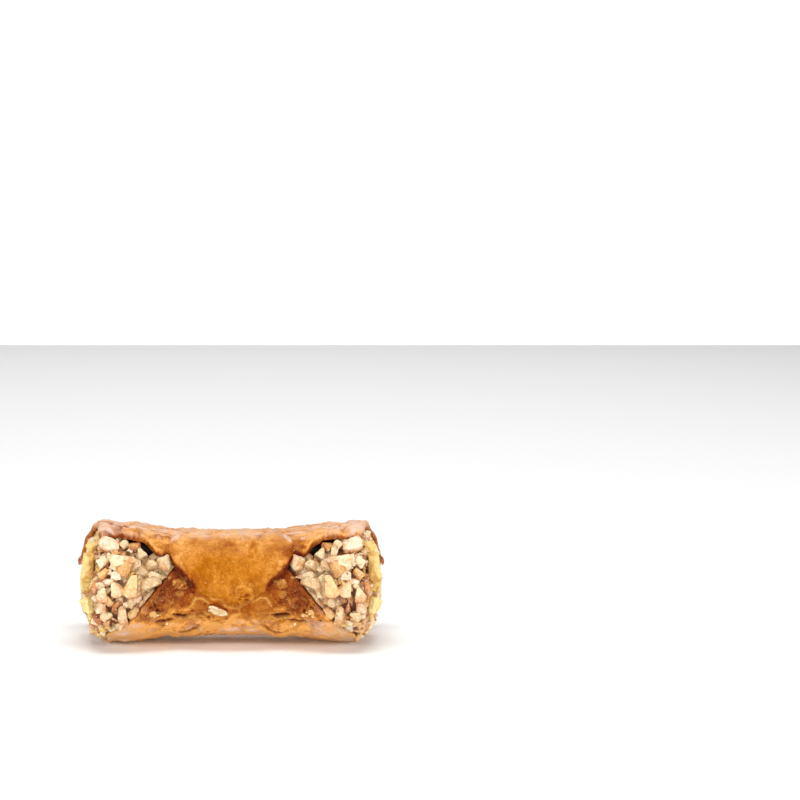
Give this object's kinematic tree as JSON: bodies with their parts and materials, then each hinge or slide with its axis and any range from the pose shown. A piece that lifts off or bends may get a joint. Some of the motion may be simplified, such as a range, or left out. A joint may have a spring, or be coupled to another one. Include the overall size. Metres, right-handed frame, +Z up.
{
  "type": "filled cannolo",
  "caption": "Small fried pastry tube, wrapped and lapped at the front, filled with nut cream, its two slanted open ends covered in chopped hazelnuts.",
  "frame": {"origin": "on the surface that it rests on, under the middle of its box", "axes": "+X along the tube, +Z up, and the lap of the wrapped shell faces -Y"},
  "size_m": [0.08, 0.034, 0.0327],
  "materials": {
    "fried_dough": "crisp fried dough, slightly oily, with blisters and brown patches",
    "chopped_hazelnut": "dry cut nut faces, ivory to lightly toasted",
    "hazelnut_cream": "soft cream with a low sheen"
  },
  "bodies": {
    "root": {"shell": "fried_dough", "filling": "chopped_hazelnut"}
  },
  "joints": []
}
